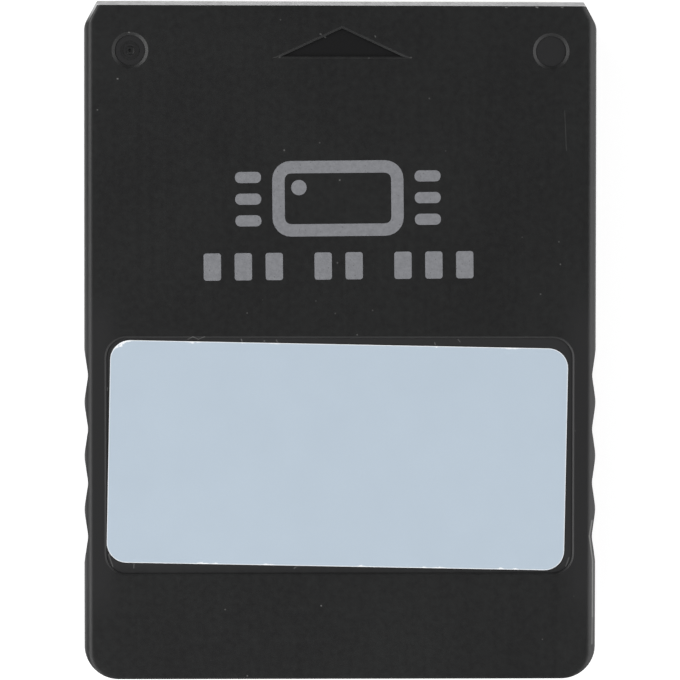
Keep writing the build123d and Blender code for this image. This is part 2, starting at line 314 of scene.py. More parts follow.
@dataclass(frozen=True)
class ScratchAndHighlight:
    """A scratch, nick, speck, strand of lint or painted highlight line on the front face, end to
    end in millimetres.
    """

    start: Pair
    end: Pair
    width: float = 0.07
    strength: float = 0.5


@dataclass(frozen=True)
class BlackAbs:
    """Black ABS, moulded in a spark-eroded tool.

    It gives the eye a satin black with a fine even grain. A pale painted highlight lies on the
    bevels of the connector end and its left corner, broken up by noise. It is a little paler beside
    the label's recess and in the round marks, the recess floor carries painted light that weakens
    toward the grip end, and it is darker and smoother on the arrow's floor, which the tool maker
    polished.
    """

    name: str = "black_abs_spark_grain"
    body: str = "#0d0d0e"
    cloudy: str = "#191a1a"
    polished: str = "#131314"
    # Painted light on the recess floor, lifting its shade
    recess_floor_light: str = "#242425"
    # A little paler beside the label's recess and in the round marks
    paler_patch: str = "#1d1d1e"
    # Painted highlight on the connector-end bevels and the left corner
    nose_highlight: str = "#c4c4c5"
    # Lint specks, and the painted highlight lines of the scratch list
    lint_and_highlight: str = "#a4a4a2"
    roughness: float = 0.42
    roughness_spread: float = 0.05
    polished_roughness: float = 0.3
    ior: float = 1.5
    # Real spark grain is about 0.03 mm; it is drawn at 0.16 mm so that it shows
    grain: float = 0.16
    # Strength of the grain on the plain faces and on the polished floor
    grain_strength: Pair = (0.18, 0.04)
    grain_depth: float = 0.02
    cloud: float = 9.0
    streak: float = 0.45
    streak_stretch: float = 0.03
    streak_weight: float = 0.45
    fleck: float = 0.5
    fleck_weight: float = 1.4
    mottle_range: Pair = (1.08, 1.78)
    lint_spacing: float = 1.5
    lint_dot: Pair = (0.02, 0.06)
    lint_chance: Pair = (0.55, 1.0)
    lint_most: float = 0.35
    nose_edge: float = 27.04
    bevel_depth: float = 0.36
    thickness: float = 7.9
    # Noise that breaks up the painted highlight at the connector end
    highlight_break_scale: float = 1.3
    highlight_break_range: Pair = (0.2, 0.55)
    highlight_break_least: float = 0.75
    corner_edge: float = 30.09
    corner_normal: Pair = (-0.8811, 0.4728)
    corner_fade: Pair = (25.6, 26.9)
    arrow_centre: Triple = (0.1, 24.1, 7.6)
    arrow_reach: Triple = (6.0, 1.6, 0.1)
    recess_centre: Triple = (-0.06, -9.325, 7.74)
    recess_reach: Triple = (18.9, 9.6, 0.015)
    # Where the painted light on the recess floor weakens, and how much of it is left
    recess_light_fade: Pair = (-18.85, -18.1)
    recess_light_least: float = 0.2
    mark_centre: Triple = (0.0, 24.0, 7.72)
    mark_reach: Triple = (19.5, 2.6, 0.006)
    paler_side_x: Pair = (17.6, 19.2)
    paler_side_y: Pair = (10.5, 14.0)
    paler_side_middle: float = -9.3
    scratches_and_highlights: tuple[ScratchAndHighlight, ...] = (
        # Right edge beside and below the label: a painted highlight line along its outer edge
        ScratchAndHighlight((20.42, -14.6), (20.2, -15.8), 0.1, 0.4),
        ScratchAndHighlight((20.2, -15.8), (20.48, -17.8), 0.1, 0.5),
        ScratchAndHighlight((20.48, -17.8), (20.48, -22.4), 0.1, 0.55),
        ScratchAndHighlight((20.48, -22.4), (20.44, -24.6), 0.1, 0.3),
        # Paper lint along the label's recess
        ScratchAndHighlight((-12.34, 0.1), (-11.95, 0.32), 0.05, 0.25),
        ScratchAndHighlight((-11.95, 0.32), (-11.47, 0.1), 0.05, 0.3),
        ScratchAndHighlight((-11.45, 0.14), (-10.98, 0.32), 0.05, 0.25),
        ScratchAndHighlight((-8.02, 0.12), (-7.96, -0.12), 0.06, 0.4),
        ScratchAndHighlight((-5.2, 0.05), (-5.05, -0.2), 0.06, 0.3),
        ScratchAndHighlight((7.62, -0.15), (7.68, -0.35), 0.05, 0.35),
        ScratchAndHighlight((9.5, 0.12), (9.68, -0.1), 0.05, 0.25),
        ScratchAndHighlight((-18.84, -3.8), (-18.86, -4.05), 0.05, 0.35),
        # Painted highlight on the recess's lower left rim
        ScratchAndHighlight((-18.75, -17.3), (-18.4, -18.3), 0.06, 0.25),
        # More paper lint along the label's recess
        ScratchAndHighlight((-16.7, -18.05), (-16.72, -18.4), 0.06, 0.25),
        ScratchAndHighlight((-3.75, -18.45), (-3.5, -18.25), 0.06, 0.3),
        ScratchAndHighlight((18.55, -17.6), (18.3, -18.3), 0.07, 0.22),
        # Hairline on the face, and a painted highlight line where the left corner's rounding starts
        ScratchAndHighlight((18.1, 18.6), (18.25, 15.4), 0.05, 0.08),
        ScratchAndHighlight((-19.7, 26.75), (-20.2, 25.67), 0.05, 0.14),
        # Nicks along the connector end
        ScratchAndHighlight((13.3, 26.95), (13.42, 26.9), 0.06, 0.3),
        ScratchAndHighlight((15.75, 26.98), (15.9, 26.92), 0.08, 0.45),
        ScratchAndHighlight((17.8, 26.94), (17.95, 26.92), 0.06, 0.3),
        # A painted highlight line along the arrow's base, then dust on the arrow's edges and round
        # the left mark
        ScratchAndHighlight((-5.4, 22.82), (5.7, 22.82), 0.06, 0.05),
        ScratchAndHighlight((-4.98, 22.87), (-4.92, 22.87), 0.08, 0.2),
        ScratchAndHighlight((2.23, 22.82), (2.29, 22.82), 0.07, 0.2),
        ScratchAndHighlight((5.63, 22.87), (5.69, 22.87), 0.07, 0.2),
        ScratchAndHighlight((-1.67, 24.75), (-1.6, 24.71), 0.08, 0.25),
        ScratchAndHighlight((-1.3, 24.52), (-1.24, 24.52), 0.08, 0.25),
        ScratchAndHighlight((2.75, 24.6), (2.8, 24.52), 0.07, 0.22),
        ScratchAndHighlight((-17.1, 24.83), (-17.04, 24.83), 0.08, 0.3),
        ScratchAndHighlight((-18.01, 21.1), (-17.97, 21.1), 0.09, 0.4),
    )

    def build(self) -> bpy.types.Material:
        """Build the finish.

        Returns:
            The material of both shells.
        """
        material, tree, shader = start_material(self.name)
        place = millimetres(tree)
        axes = add_node(tree, "ShaderNodeSeparateXYZ", {0: place})
        arrow = self.floor_mask(tree, axes, self.arrow_centre, self.arrow_reach)
        grain = noise(tree, place, 1.0 / self.grain, detail=3.0, roughness=0.6)
        spread = self.roughness_spread
        uneven = ranged(tree, grain, to=(self.roughness - spread, self.roughness + spread))
        finish = add_node(
            tree,
            "ShaderNodeMix",
            {0: arrow, 2: uneven, 3: self.polished_roughness},
            data_type="FLOAT",
        )
        strength = ranged(tree, arrow, to=self.grain_strength)
        plug(tree, shader, {
            "Base Color": self.colour(tree, place, axes, arrow),
            "Roughness": finish,
            "IOR": self.ior,
            "Normal": relief(tree, grain, strength, self.grain_depth),
        })
        return material

    def colour(
        self,
        tree: bpy.types.NodeTree,
        place: bpy.types.Node,
        axes: bpy.types.Node,
        arrow: bpy.types.Node,
    ) -> bpy.types.NodeSocket:
        """Lay the mottle, sunken floors, paler patches, the recess floor's painted light, the
        painted highlight at the connector end, lint, and scratches with painted highlight lines in
        order.

        Args:
            tree: Tree of the material.
            place: Place in millimetres.
            axes: The same place, split in X, Y and Z.
            arrow: Mask of the arrow's floor.

        Returns:
            Colour socket for the shader.
        """
        cloud = noise(tree, place, 1.0 / self.cloud, detail=4.0)
        stretch = (1.0 / self.streak, self.streak_stretch, 1.0)
        drawn = add_node(tree, "ShaderNodeMapping", {"Vector": place, "Scale": stretch})
        streak = noise(tree, drawn, 1.0, detail=2.0)
        both = maths(tree, "MULTIPLY_ADD", streak, self.streak_weight, cloud)
        fleck = noise(tree, place, 1.0 / self.fleck, detail=3.0)
        mottle = maths(tree, "MULTIPLY_ADD", fleck, self.fleck_weight, both)
        share = ranged(tree, mottle, self.mottle_range)
        under = blend(tree, share, linear(self.body), linear(self.cloudy))
        layers = (
            (arrow, self.polished),
            # A little paler beside the label's recess and in the round marks
            (self.paler_side_mask(tree, axes), self.paler_patch),
            (self.floor_mask(tree, axes, self.mark_centre, self.mark_reach), self.paler_patch),
            # Painted light that lifts the shade on the recess floor
            (self.recess_light_mask(tree, axes), self.recess_floor_light),
            # Painted highlight on the connector-end bevels and the left corner, broken up by noise
            (self.nose_highlight_mask(tree, place, axes), self.nose_highlight),
            (self.lint_mask(tree, place), self.lint_and_highlight),
            # Scratches, nicks and lint, with painted highlight lines along edges and rims
            (self.scratch_and_highlight_mask(tree, axes), self.lint_and_highlight),
        )
        for mask, shade in layers:
            under = blend(tree, mask, under, linear(shade))
        return under

    def floor_mask(
        self,
        tree: bpy.types.NodeTree,
        axes: bpy.types.Node,
        centre: Triple,
        reach: Triple,
    ) -> bpy.types.Node:
        """Mask of one sunken floor of the front face.

        Args:
            tree: Tree of the material.
            axes: Place in millimetres, split in X, Y and Z.
            centre: Middle of the floor.
            reach: How far the floor reaches from there along X, Y and Z.

        Returns:
            Node whose first output is the mask.
        """
        inside: Plug = 1.0
        for axis, middle, limit in zip(axes.outputs, centre, reach):
            near = maths(tree, "COMPARE", axis, middle, limit)
            inside = maths(tree, "MULTIPLY", near, inside)
        return inside

    def recess_light_mask(self, tree: bpy.types.NodeTree, axes: bpy.types.Node) -> bpy.types.Node:
        """Mask of the painted light on the floor of the label's recess, weaker toward the grip end.

        Args:
            tree: Tree of the material.
            axes: Place in millimetres, split in X, Y and Z.

        Returns:
            Node whose first output is the mask.
        """
        floor = self.floor_mask(tree, axes, self.recess_centre, self.recess_reach)
        thin = ranged(tree, axes.outputs[1], self.recess_light_fade, (self.recess_light_least, 1.0))
        return maths(tree, "MULTIPLY", floor, thin)

    def paler_side_mask(self, tree: bpy.types.NodeTree, axes: bpy.types.Node) -> bpy.types.Node:
        """Mask of the two strips beside the label's recess that are a little paler.

        Args:
            tree: Tree of the material.
            axes: Place in millimetres, split in X, Y and Z.

        Returns:
            Node whose first output is the mask.
        """
        side = maths(tree, "ABSOLUTE", axes.outputs[0])
        beside = ranged(tree, side, self.paler_side_x)
        offset = maths(tree, "SUBTRACT", axes.outputs[1], self.paler_side_middle)
        away = maths(tree, "ABSOLUTE", offset)
        along = ranged(tree, away, self.paler_side_y, (1.0, 0.0))
        return maths(tree, "MULTIPLY", beside, along)

    def nose_highlight_mask(
        self,
        tree: bpy.types.NodeTree,
        place: bpy.types.Node,
        axes: bpy.types.Node,
    ) -> bpy.types.Node:
        """Mask of the painted highlight on the bevels at the connector end and on its left corner,
        broken up by noise.

        Args:
            tree: Tree of the material.
            place: Place in millimetres.
            axes: The same place, split in X, Y and Z.

        Returns:
            Node whose first output is the mask.
        """
        slanted = vectors(tree, "DOT_PRODUCT", place, (*self.corner_normal, 0.0))
        corner = maths(tree, "GREATER_THAN", slanted.outputs["Value"], self.corner_edge)
        fade = ranged(tree, axes.outputs[1], self.corner_fade)
        faded = maths(tree, "MULTIPLY", corner, fade)
        end = maths(tree, "GREATER_THAN", axes.outputs[1], self.nose_edge)
        either = maths(tree, "MAXIMUM", faded, end)
        middle = maths(tree, "SUBTRACT", axes.outputs[2], self.thickness / 2)
        height = maths(tree, "ABSOLUTE", middle)
        bevel = maths(tree, "GREATER_THAN", height, self.thickness / 2 - self.bevel_depth)
        highlight_breakup = noise(tree, place, self.highlight_break_scale, detail=4.0)
        broken_highlight = ranged(tree, highlight_breakup, self.highlight_break_range, (self.highlight_break_least, 1.0))
        edge = maths(tree, "MULTIPLY", either, bevel)
        return maths(tree, "MULTIPLY", edge, broken_highlight)

    def lint_mask(self, tree: bpy.types.NodeTree, place: bpy.types.Node) -> bpy.types.Node:
        """Mask of sparse dust specks, each fainter or stronger by chance.

        Args:
            tree: Tree of the material.
            place: Place in millimetres.

        Returns:
            Node whose first output is the mask.
        """
        sockets = {"Vector": place, "Scale": 1.0 / self.lint_spacing}
        cells = add_node(tree, "ShaderNodeTexVoronoi", sockets)
        dot = ranged(tree, cells.outputs["Distance"], self.lint_dot, (1.0, 0.0))
        chance = add_node(tree, "ShaderNodeSeparateColor", {0: cells.outputs["Color"]})
        faint = ranged(tree, chance.outputs[0], self.lint_chance, (0.0, self.lint_most))
        return maths(tree, "MULTIPLY", dot, faint)

    def scratch_and_highlight_mask(self, tree: bpy.types.NodeTree, axes: bpy.types.Node) -> bpy.types.Node:
        """Mask of the scratches, nicks, lint and painted highlight lines on the front face.

        Args:
            tree: Tree of the material.
            axes: Place in millimetres, split in X, Y and Z.

        Returns:
            Node whose first output is the mask.
        """
        flat = add_node(tree, "ShaderNodeCombineXYZ", {0: axes.outputs[0], 1: axes.outputs[1]})
        above = maths(tree, "GREATER_THAN", axes.outputs[2], self.thickness / 2)
        marks: Plug = 0.0
        for line_mark in self.scratches_and_highlights:
            start = Vector((*line_mark.start, 0.0))
            run = Vector((*line_mark.end, 0.0)) - start
            reach = vectors(tree, "SUBTRACT", flat, start)
            along = vectors(tree, "DOT_PRODUCT", reach, run / run.length_squared)
            held = add_node(tree, "ShaderNodeClamp", {0: along.outputs["Value"]})
            sockets = {0: run, "Scale": held}
            foot = add_node(tree, "ShaderNodeVectorMath", sockets, operation="SCALE")
            away = vectors(tree, "DISTANCE", reach, foot)
            width = (0.0, line_mark.width)
            line = ranged(tree, away.outputs["Value"], width, (line_mark.strength, 0.0))
            marks = maths(tree, "MAXIMUM", line, marks)
        return maths(tree, "MULTIPLY", marks, above)


@dataclass(frozen=True)
class Nick:
    """A place on the label's edge where the top coat has chipped, in millimetres along the edge."""

    along: float
    reach: float
    upper: bool
    depth: float = 1.0


@dataclass(frozen=True)
class CoatedPaper:
    """Pale blue-grey coated paper, die cut.

    It gives the eye an even soft colour with a faint fibre, and a white core that shows at
    the cut edge and where the coat has chipped.
    """

    name: str = "coated_label_paper"
    coat: str = "#b9c7d4"
    coat_shade: str = "#b6c4d1"
    core: str = "#f4f7fa"
    roughness: float = 0.5
    core_roughness: float = 0.85
    ior: float = 1.47
    centre: Pair = (-0.23, -9.285)
    turn: float = -1.1
    half: Pair = (18.52, 8.995)
    corner: float = 1.6
    # Paper fibres are about 0.02 mm thick; they are drawn at 0.12 mm so that they show
    fibre: float = 0.12
    fibre_strength: float = 0.08
    fibre_depth: float = 0.01
    cloud_scale: float = 0.3
    shade_range: Pair = (0.1, 0.4)
    rim: float = 0.05
    rim_fade: Pair = (-0.03, 0.04)
    ragged_scale: float = 3.0
    ragged_range: Pair = (0.3, 0.7)
    ragged_depth: float = 0.12
    half_match: float = 0.1
    nicks: tuple[Nick, ...] = (
        # The upper left corner is rubbed
        Nick(-17.5, 0.85, True, 3.2),
        Nick(-11.8, 0.7, True, 1.6),
        Nick(-7.85, 0.25, True, 1.2),
        Nick(-5.2, 0.5, True),
        Nick(7.8, 0.2, True, 1.2),
        Nick(13.9, 0.9, True, 1.3),
        Nick(-10.7, 0.6, False, 1.6),
        Nick(-9.75, 0.3, False, 1.6),
        Nick(-5.45, 0.6, False, 1.5),
        Nick(2.1, 0.4, False),
        Nick(7.2, 0.25, False, 1.3),
        Nick(8.4, 0.6, False, 1.4),
        Nick(13.4, 0.3, False, 1.6),
        Nick(14.6, 0.3, False),
    )

    def build(self) -> bpy.types.Material:
        """Build the finish.

        Returns:
            The material of the label.
        """
        material, tree, shader = start_material(self.name)
        place = millimetres(tree)
        fibre = noise(tree, place, 1.0 / self.fibre, detail=4.0, roughness=0.7)
        soft = noise(tree, place, self.cloud_scale, detail=3.0)
        share = ranged(tree, maths(tree, "MULTIPLY", fibre, soft), self.shade_range)
        coat = blend(tree, share, linear(self.coat_shade), linear(self.coat))
        bare = self.bare_mask(tree, place)
        plug(tree, shader, {
            "Base Color": blend(tree, bare, coat, linear(self.core)),
            "Roughness": ranged(tree, bare, to=(self.roughness, self.core_roughness)),
            "IOR": self.ior,
            "Normal": relief(tree, fibre, self.fibre_strength, self.fibre_depth),
        })
        return material

    def bare_mask(self, tree: bpy.types.NodeTree, place: bpy.types.Node) -> bpy.types.Node:
        """Mask of the white core: the cut edge, its nicks and the rubbed upper left corner.

        Args:
            tree: Tree of the material.
            place: Place in millimetres.

        Returns:
            Node whose first output is the mask.
        """
        sockets = {
            "Vector": place,
            "Location": (*self.centre, 0.0),
            "Rotation": (0.0, 0.0, math.radians(self.turn)),
        }
        turned = add_node(tree, "ShaderNodeMapping", sockets, vector_type="TEXTURE")
        axes = add_node(tree, "ShaderNodeSeparateXYZ", {0: turned})
        level = add_node(tree, "ShaderNodeCombineXYZ", {0: axes.outputs[0], 1: axes.outputs[1]})
        folded = vectors(tree, "ABSOLUTE", level)
        straight = (self.half[0] - self.corner, self.half[1] - self.corner, 0.0)
        past = vectors(tree, "SUBTRACT", folded, straight)
        outer = vectors(tree, "MAXIMUM", past, (0.0, 0.0, 0.0))
        length = vectors(tree, "LENGTH", outer)
        beyond = add_node(tree, "ShaderNodeSeparateXYZ", {0: past})
        largest = maths(tree, "MAXIMUM", beyond.outputs[0], beyond.outputs[1])
        inner = maths(tree, "MINIMUM", largest, 0.0)
        distance = maths(tree, "ADD", length.outputs["Value"], inner)
        depth = maths(tree, "SUBTRACT", self.corner, distance)
        ragged = noise(tree, turned, self.ragged_scale, detail=3.0)
        wander = ranged(tree, ragged, self.ragged_range, (0.0, self.ragged_depth))
        chips = self.nick_depth(tree, axes, wander)
        limit = maths(tree, "ADD", chips, self.rim)
        return ranged(tree, maths(tree, "SUBTRACT", limit, depth), self.rim_fade)

    def nick_depth(
        self,
        tree: bpy.types.NodeTree,
        axes: bpy.types.Node,
        wander: bpy.types.Node,
    ) -> bpy.types.Node:
        """How far the chips reach into the label, over its measured nicks.

        Args:
            tree: Tree of the material.
            axes: Place on the label, split in X, Y and Z.
            wander: Uneven depth of the chips.

        Returns:
            Node whose first output is the depth in millimetres.
        """
        upper = maths(tree, "GREATER_THAN", axes.outputs[1], 0.0)
        total: Plug = 0.0
        for nick in self.nicks:
            aside = maths(tree, "SUBTRACT", axes.outputs[0], nick.along)
            away = maths(tree, "ABSOLUTE", aside)
            near = ranged(tree, away, (0.0, nick.reach), (nick.depth, 0.0))
            half = maths(tree, "COMPARE", upper, 1.0 if nick.upper else 0.0, self.half_match)
            here = maths(tree, "MULTIPLY", near, half)
            total = maths(tree, "MAXIMUM", here, total)
        return maths(tree, "MULTIPLY", total, wander)


@dataclass(frozen=True)
class PrintInk:
    """Grey pad printing ink on the grained plastic: flat, thin and slightly porous."""

    name: str = "grey_pad_print_ink"
    ink: str = "#838488"
    thin: str = "#77787c"
    pinhole: str = "#4a4a4c"
    roughness: float = 0.5
    mottle: float = 0.35
    mottle_range: Pair = (0.35, 0.65)
    mottle_strength: float = 0.15
    mottle_depth: float = 0.01
    hole_scale: float = 2.4
    hole_range: Pair = (0.06, 0.13)
    hole_most: float = 0.7

    def build(self) -> bpy.types.Material:
        """Build the finish.

        Returns:
            The material of the printed shapes.
        """
        material, tree, shader = start_material(self.name)
        place = millimetres(tree)
        mottle = noise(tree, place, 1.0 / self.mottle, detail=4.0, roughness=0.7)
        share = ranged(tree, mottle, self.mottle_range)
        film = blend(tree, share, linear(self.thin), linear(self.ink))
        cells = add_node(tree, "ShaderNodeTexVoronoi", {"Vector": place, "Scale": self.hole_scale})
        hole = ranged(tree, cells.outputs["Distance"], self.hole_range, (self.hole_most, 0.0))
        plug(tree, shader, {
            "Base Color": blend(tree, hole, film, linear(self.pinhole)),
            "Roughness": self.roughness,
            "Normal": relief(tree, mottle, self.mottle_strength, self.mottle_depth),
        })
        return material


@dataclass(frozen=True)
class SolderMask:
    """Green solder mask over a fibreglass board: glossy green, with weave and copper under it."""

    name: str = "green_solder_mask"
    mask: str = "#1f5a34"
    copper: str = "#2f7a46"
    edge: str = "#b9a66a"
    roughness: float = 0.28
    roughness_spread: float = 0.08
    ior: float = 1.52
    # Board weave is about 0.4 mm per thread, and one wave of the texture spans six
    weave: float = 0.4
    weave_threads: float = 6.0
    weave_strength: float = 0.12
    weave_depth: float = 0.02
    track: float = 1.6
    track_run: int = 4
    track_gap: float = 0.28
    track_soft: float = 0.1
    upright_limit: float = 0.5

    def build(self) -> bpy.types.Material:
        """Build the finish.

        Returns:
            The material of the circuit board.
        """
        material, tree, shader = start_material(self.name)
        place = millimetres(tree)
        white, black = (1, 1, 1, 1), (0, 0, 0, 1)
        tracks = add_node(tree, "ShaderNodeTexBrick", {
            "Vector": place,
            "Scale": 1.0,
            "Color1": white,
            "Color2": white,
            "Mortar": black,
            "Mortar Size": self.track_gap,
            "Mortar Smooth": self.track_soft,
            "Brick Width": self.track * self.track_run,
            "Row Height": self.track,
        })
        colour = blend(tree, tracks, linear(self.mask), linear(self.copper))
        surface = add_node(tree, "ShaderNodeNewGeometry")
        facing = add_node(tree, "ShaderNodeSeparateXYZ", {0: surface.outputs["Normal"]})
        upright = maths(tree, "ABSOLUTE", facing.outputs[2])
        cut = maths(tree, "LESS_THAN", upright, self.upright_limit)
        weave = add_node(
            tree,
            "ShaderNodeTexWave",
            {"Vector": place, "Scale": 1.0 / (self.weave * self.weave_threads), "Distortion": 1.0},
            bands_direction="DIAGONAL",
        )
        rough = (self.roughness, self.roughness + self.roughness_spread)
        plug(tree, shader, {
            "Base Color": blend(tree, cut, colour, linear(self.edge)),
            "Roughness": ranged(tree, weave, to=rough),
            "IOR": self.ior,
            "Normal": relief(tree, weave, self.weave_strength, self.weave_depth),
        })
        return material


class Wipe(Enum):
    """Which way a metal surface is streaked, as stretch factors along X, Y and Z."""

    ALONG_CARD = (9.0, 0.25, 1.0)
    ACROSS_CARD = (0.4, 7.0, 1.0)
    EVEN = (3.0, 3.0, 3.0)


@dataclass(frozen=True)
class PlatedMetal:
    """Thin plating on metal: a clear metal colour with fine streaks the way it was wiped."""

    name: str
    bright: str
    dull: str
    roughness: float
    wipe: Wipe
    metallic: float = 1.0
    dull_extra: float = 0.12
    streak_range: Pair = (0.3, 0.7)
    streak_strength: float = 0.1
    streak_depth: float = 0.01

    def build(self) -> bpy.types.Material:
        """Build the finish.

        Returns:
            The material of a plated piece.
        """
        material, tree, shader = start_material(self.name)
        place = millimetres(tree)
        drawn = add_node(tree, "ShaderNodeMapping", {"Vector": place, "Scale": self.wipe.value})
        streak = noise(tree, drawn, 1.0, detail=5.0, roughness=0.65)
        share = ranged(tree, streak, self.streak_range)
        rough = (self.roughness + self.dull_extra, self.roughness)
        plug(tree, shader, {
            "Base Color": blend(tree, share, linear(self.dull), linear(self.bright)),
            "Metallic": self.metallic,
            "Roughness": ranged(tree, share, to=rough),
            "Normal": relief(tree, streak, self.streak_strength, self.streak_depth),
        })
        return material


@dataclass(frozen=True)
class MouldedEpoxy:
    """Black filled epoxy of a chip: matt, with the fine sand of its silica filler."""

    name: str = "filled_moulding_epoxy"
    body: str = "#222224"
    sand: str = "#333335"
    roughness: float = 0.62
    # Silica filler is about 0.03 mm; it is drawn at 0.1 mm so that it shows
    filler: float = 0.1
    filler_range: Pair = (0.35, 0.7)
    filler_strength: float = 0.25
    filler_depth: float = 0.01

    def build(self) -> bpy.types.Material:
        """Build the finish.

        Returns:
            The material of the chip bodies.
        """
        material, tree, shader = start_material(self.name)
        place = millimetres(tree)
        sand = noise(tree, place, 1.0 / self.filler, detail=3.0)
        share = ranged(tree, sand, self.filler_range)
        plug(tree, shader, {
            "Base Color": blend(tree, share, linear(self.body), linear(self.sand)),
            "Roughness": self.roughness,
            "Normal": relief(tree, sand, self.filler_strength, self.filler_depth),
        })
        return material


@dataclass(frozen=True)
class CeramicChip:
    """Fired ceramic between two tinned ends, in a row of parts at one spacing along X."""

    name: str
    body: str
    speck: str
    pitch: float
    half_length: float
    cap: float
    tin: str = "#c9c9c6"
    roughness: float = 0.45
    tin_roughness: float = 0.3
    grain_scale: float = 9.0
    grain_range: Pair = (0.35, 0.7)
    grain_strength: float = 0.15
    grain_depth: float = 0.01

    def build(self) -> bpy.types.Material:
        """Build the finish.

        Returns:
            The material of a row of small parts.
        """
        material, tree, shader = start_material(self.name)
        place = millimetres(tree)
        axes = add_node(tree, "ShaderNodeSeparateXYZ", {0: place})
        shifted = maths(tree, "FLOORED_MODULO", axes.outputs[0], self.pitch)
        away = maths(tree, "ABSOLUTE", maths(tree, "SUBTRACT", shifted, self.pitch / 2))
        tinned = maths(tree, "GREATER_THAN", away, self.half_length - self.cap)
        grain = noise(tree, place, self.grain_scale, detail=3.0)
        share = ranged(tree, grain, self.grain_range)
        fired = blend(tree, share, linear(self.body), linear(self.speck))
        plug(tree, shader, {
            "Base Color": blend(tree, tinned, fired, linear(self.tin)),
            "Metallic": tinned,
            "Roughness": ranged(tree, tinned, to=(self.roughness, self.tin_roughness)),
            "Normal": relief(tree, grain, self.grain_strength, self.grain_depth),
        })
        return material


@dataclass
class Skin:
    """A smooth copy of one CAD node, which stands for it."""

    node: str
    piece: str
    slot: Slot
    merge: float = 0.001 * MM
    # The facets of the rounded edges meet at 18 degrees, the sloped rims and the face at 22
    crease: float = 20.0
    face_weight: int = 100

    def build(self) -> bpy.types.Object:
        """Copy the node's triangles, merge them and smooth their shading.

        Returns:
            The copy, in the node's place.
        """
        skin = bpy.data.objects.new(self.piece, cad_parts[self.node].data.copy())
        bpy.context.scene.collection.objects.link(skin)
        pick(skin)
        bpy.ops.mesh.customdata_custom_splitnormals_clear()
        bpy.ops.object.mode_set(mode="EDIT")
        bpy.ops.mesh.select_all(action="SELECT")
        bpy.ops.mesh.remove_doubles(threshold=self.merge)
        bpy.ops.object.mode_set(mode="OBJECT")
        bpy.ops.object.shade_smooth_by_angle(angle=math.radians(self.crease))
        weighted = skin.modifiers.new("flat_faces_stay_flat", "WEIGHTED_NORMAL")
        weighted.mode = "FACE_AREA"
        weighted.weight = self.face_weight
        weighted.keep_sharp = True
        bpy.ops.object.modifier_apply(modifier=weighted.name)
        return skin


@dataclass
class Housing:
    """The two moulded shells."""

    finish: BlackAbs = field(default_factory=BlackAbs)
    skins: tuple[Skin, ...] = (
        Skin("front_shell", "front_shell_skin", Slot.SHELL),
        Skin("rear_shell", "rear_shell_skin", Slot.SHELL),
    )

    def build(self) -> None:
        """Make both shells and give them their finish."""
        plastic = self.finish.build()
        for skin in self.skins:
            shell = skin.build()
            wear_finish(shell, plastic)
            seat(shell, skin.node)


@dataclass
class PaperLabel:
    """The label in its recess."""

    finish: CoatedPaper = field(default_factory=CoatedPaper)
    node: str = "label_sticker"

    def build(self) -> None:
        """Dress the label where the CAD put it."""
        wear_finish(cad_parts[self.node], self.finish.build())
        LOG.info("dressed %s", self.node)


